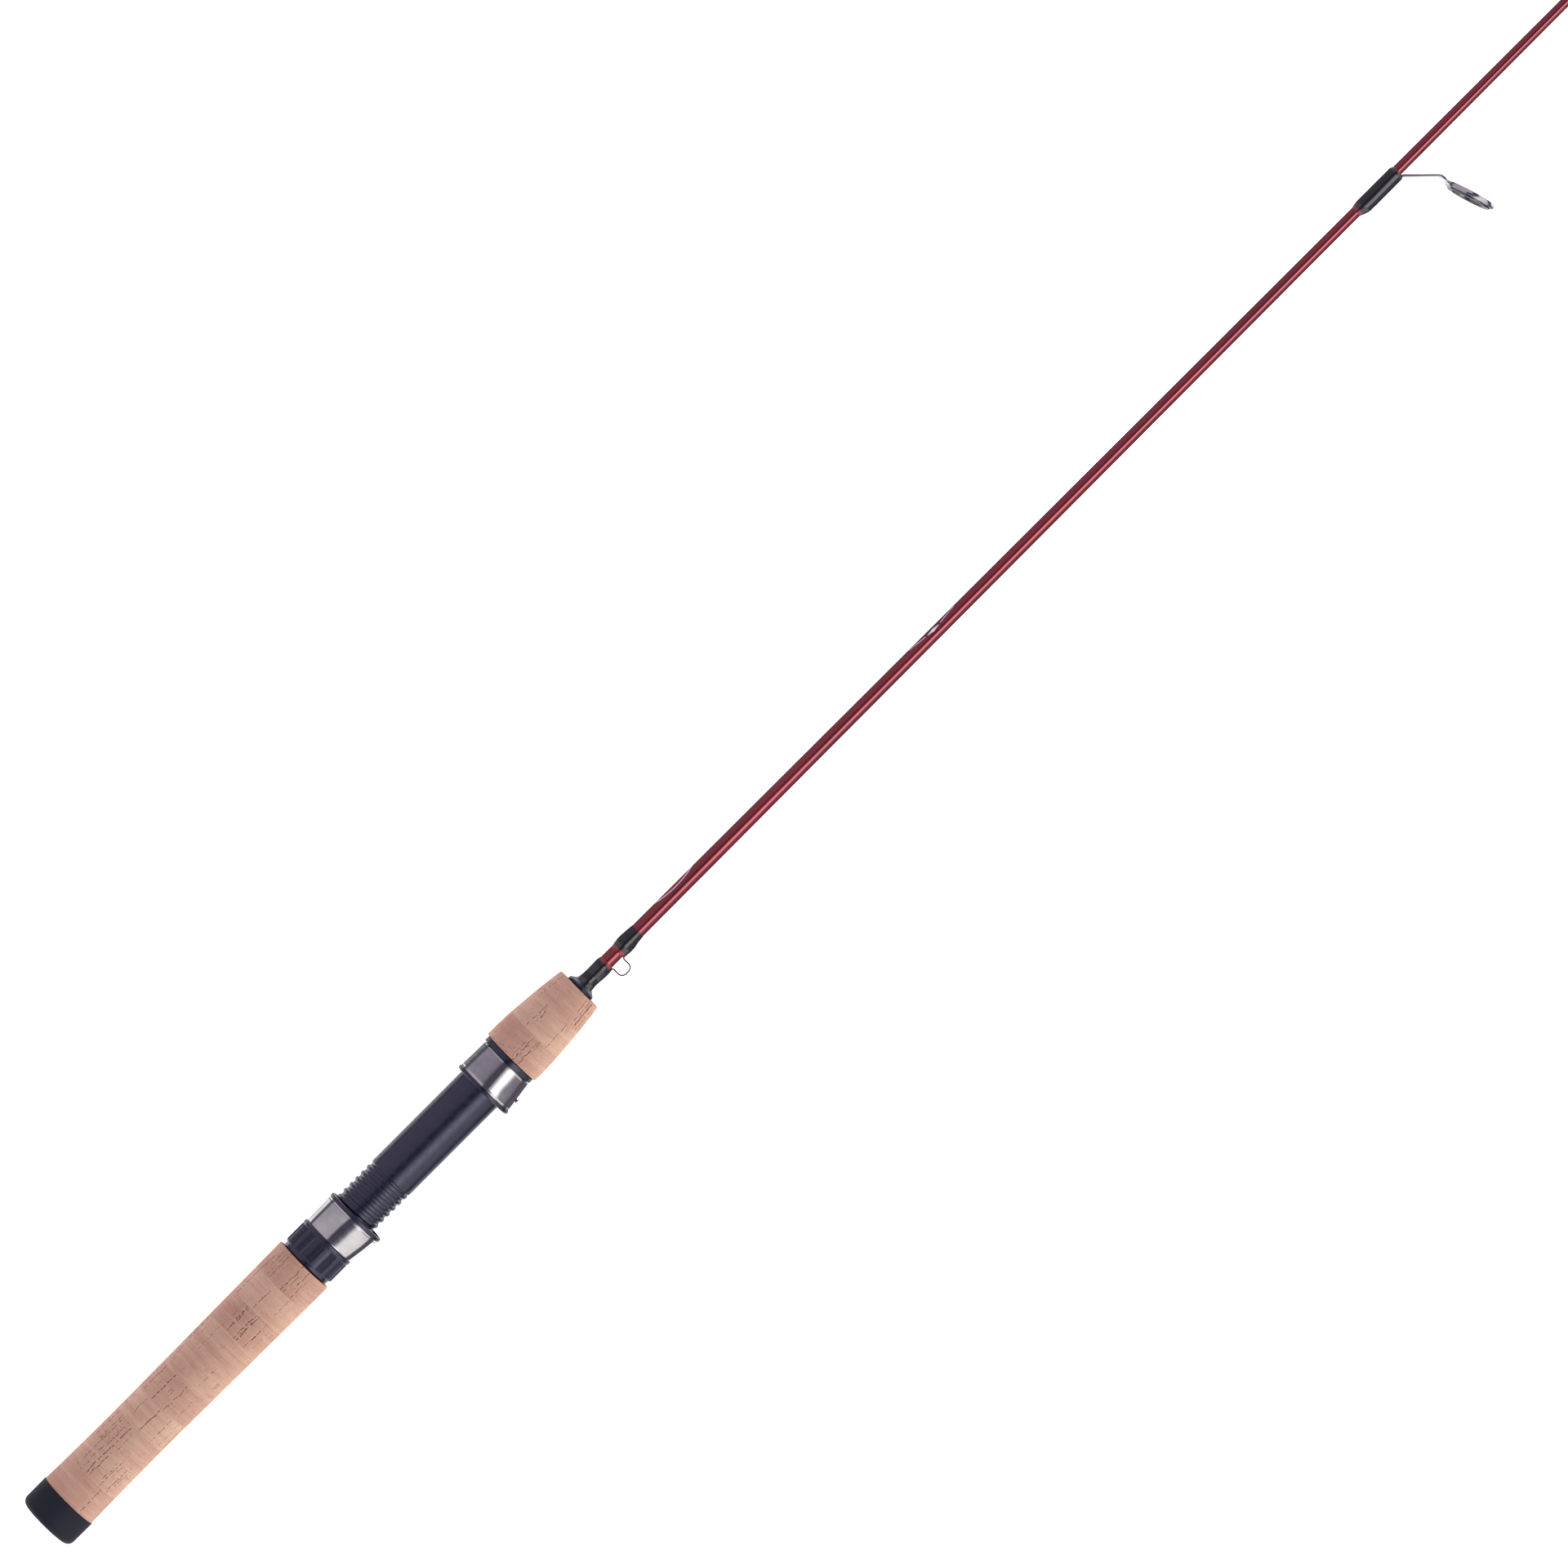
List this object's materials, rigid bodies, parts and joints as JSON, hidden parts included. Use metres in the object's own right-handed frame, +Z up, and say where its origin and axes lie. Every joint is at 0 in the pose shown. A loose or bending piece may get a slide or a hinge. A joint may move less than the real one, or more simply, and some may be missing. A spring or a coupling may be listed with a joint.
{
  "type": "ice fishing rod",
  "caption": "Long ice fishing rod for a spinning reel: cork handle, pipe reel seat with a screw-down hood, red tapered blank, single-foot line guides and a tip top.",
  "frame": {"origin": "centre of the butt cap's flat end face, on the blank's axis", "axes": "+X along the rod from the butt to the tip; the guides, the hook keeper and the reel foot's pockets are on the -Y side; +Z is up, with the rod lying on its side"},
  "size_m": [1.22, 0.0489, 0.0254],
  "materials": {
    "cork": "matte",
    "arbor": "matte",
    "blank_red": "gloss",
    "black_rubber": "matte",
    "wrap_black": "gloss",
    "seat_nylon": "satin",
    "check_black": "satin",
    "hood_steel": "polished",
    "guide_steel": "polished",
    "guide_insert": "gloss",
    "wire_steel": "satin"
  },
  "bodies": {
    "rod": {"blank": "blank_red", "butt_cap": "black_rubber", "rear_cork_ring_01": "cork", "rear_cork_ring_02": "cork", "rear_cork_ring_03": "cork", "rear_cork_ring_04": "cork", "rear_cork_ring_05": "cork", "rear_cork_ring_06": "cork", "rear_cork_ring_07": "cork", "rear_cork_ring_08": "cork", "rear_cork_ring_09": "cork", "rear_cork_ring_10": "cork", "fore_cork_ring_1": "cork", "fore_cork_ring_2": "cork", "fore_cork_ring_3": "cork", "seat_barrel": "seat_nylon", "seat_arbor_1": "arbor", "seat_arbor_2": "arbor", "seat_arbor_3": "arbor", "fixed_hood_shell": "hood_steel", "fixed_hood_core": "seat_nylon", "fixed_hood_rivet": "wire_steel", "winding_check": "check_black", "hook_keeper": "wire_steel", "keeper_wrap_rear": "wrap_black", "keeper_wrap_front": "wrap_black", "guide_1_frame": "guide_steel", "guide_1_ring": "guide_insert", "guide_1_wrap": "wrap_black", "guide_2_frame": "guide_steel", "guide_2_ring": "guide_insert", "guide_2_wrap": "wrap_black", "guide_3_frame": "guide_steel", "guide_3_ring": "guide_insert", "guide_3_wrap": "wrap_black", "guide_4_frame": "guide_steel", "guide_4_ring": "guide_insert", "guide_4_wrap": "wrap_black", "tip_top_frame": "guide_steel", "tip_top_ring": "guide_insert", "tip_top_wrap": "wrap_black"},
    "hood": {"sliding_hood_shell": "hood_steel", "sliding_hood_core": "seat_nylon"},
    "nut": {"locking_nut": "seat_nylon"}
  },
  "joints": [
    {"name": "hood_slide", "type": "slide", "parent": "rod", "child": "hood", "axis": [1, 0, 0], "range_m": [0, 0.03]},
    {"name": "nut_spin", "type": "hinge", "parent": "hood", "child": "nut", "pos_m": [0.146, 0, 0], "axis": [1, 0, 0], "range_deg": [0, 3480]}
  ],
  "couplings": [
    {"joint": "hood_slide", "follows": "nut_spin", "m_per_rad": 0.00049338}
  ]
}
